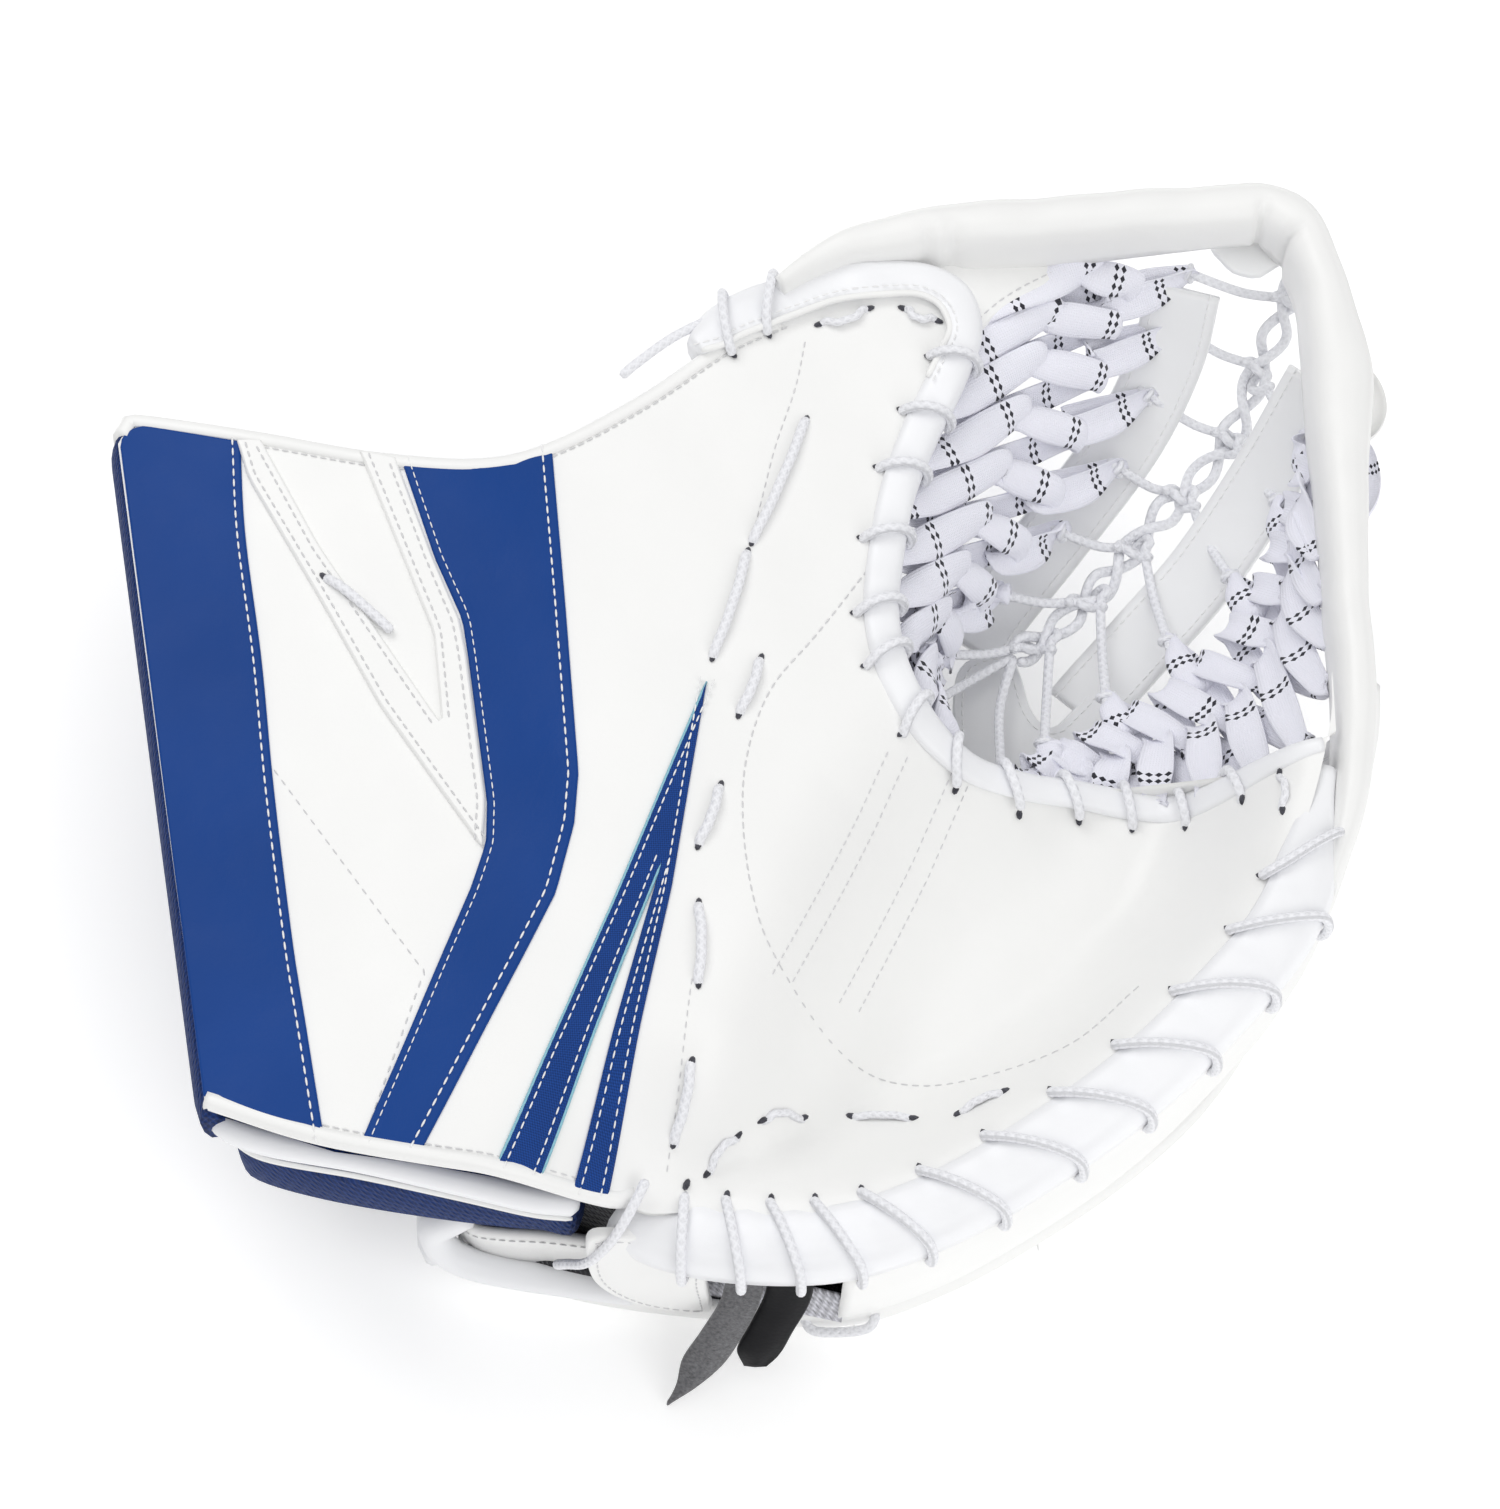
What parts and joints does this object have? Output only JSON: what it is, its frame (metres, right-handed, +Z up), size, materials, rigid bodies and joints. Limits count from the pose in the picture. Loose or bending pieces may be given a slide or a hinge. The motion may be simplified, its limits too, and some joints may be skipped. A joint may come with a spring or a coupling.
{
  "type": "goalie catch glove",
  "caption": "Ice hockey goalie catch glove for the left hand: one-piece cuff and thumb board, padded finger shell, laced pocket net, folds along the palm break.",
  "frame": {"origin": "on the flat face of the backhand shell that rests on the table, under the middle of the glove", "axes": "+X from the cuff to the fingers, +Y from the heel to the crown of the pocket, +Z up from the table towards the palm"},
  "size_m": [0.3916, 0.3594, 0.13],
  "materials": {
    "white_leather": "smooth coated leather with fine grain",
    "white_binding": "folded smooth binding",
    "blue_leather": "smooth coated leather with white stitching",
    "blue_twill": "coated twill",
    "navy_nylon": "ripstop nylon",
    "round_cord": "waxed round braided cord",
    "flat_lace": "flat woven lace with dark ticks",
    "foam": "closed-cell foam",
    "stiff_plate": "semi-rigid sheet",
    "liner_felt": "brushed knit lining",
    "inner_strap": "soft lining leather",
    "nylon_web": "nylon webbing with hook and loop",
    "black_plastic": "moulded",
    "black_leather": "smooth face, grey suede back"
  },
  "bodies": {
    "hand_shell": {"palm_panel": "white_leather", "finger_wall": "white_leather", "heel_tab": "white_leather", "pocket_gusset": "white_leather", "right_roll": "white_leather", "t_base": "white_leather", "t_strap_finger": "white_leather", "backhand_shell": "white_leather", "collar_pad": "white_leather", "finger_edge_binding": "white_binding", "collar_roll": "white_binding", "finger_lacing": "round_cord", "centre_chain": "round_cord", "finger_net": "flat_lace", "right_roll_core": "foam", "backhand_plate": "stiff_plate", "palm_felt": "liner_felt", "backhand_liner": "liner_felt", "finger_stalls": "inner_strap", "hand_strap": "inner_strap", "wrist_strap": "nylon_web", "strap_ring": "black_plastic"},
    "thumb_cuff": {"board_back_cover": "navy_nylon", "board_core": "foam", "board_cover": "white_leather", "top_edge_binding": "white_binding", "bottom_edge_binding": "white_binding", "cuff_end_gusset": "navy_nylon", "thumb_edge_binding": "white_binding", "cuff_band": "blue_leather", "chevron_stripe": "blue_leather", "spear_stripe": "blue_twill", "v_overlay": "white_leather", "board_lacing": "round_cord", "thumb_lacing": "round_cord", "palm_slope": "white_leather", "top_roll": "white_leather", "top_roll_core": "foam", "t_strap_thumb": "white_leather", "thumb_net": "flat_lace", "thumb_stall": "inner_strap", "wrist_pad": "navy_nylon", "wrist_pad_roll": "white_binding"},
    "strap_end_long": {"strap_end_long": "black_leather"},
    "strap_end_short": {"strap_end_short": "black_leather"},
    "wrist_strap_tail": {"wrist_strap_tail": "nylon_web"}
  },
  "joints": [
    {"name": "break_hinge", "type": "hinge", "parent": "hand_shell", "child": "thumb_cuff", "pos_m": [-0.028, -0.16, 0.096], "axis": [0.5298, 0.8481, 0], "range_deg": [0, 35]},
    {"name": "long_strap_swing", "type": "hinge", "parent": "hand_shell", "child": "strap_end_long", "pos_m": [-0.0015, -0.169, 0.058], "axis": [-1, 0, 0], "range_deg": [0, 60]},
    {"name": "short_strap_swing", "type": "hinge", "parent": "hand_shell", "child": "strap_end_short", "pos_m": [0.013, -0.17, 0.057], "axis": [-1, 0, 0], "range_deg": [0, 60]},
    {"name": "strap_tail_swing", "type": "hinge", "parent": "hand_shell", "child": "wrist_strap_tail", "pos_m": [-0.107, -0.09, 0.033], "axis": [0, 1, 0], "range_deg": [-20, 20]}
  ]
}
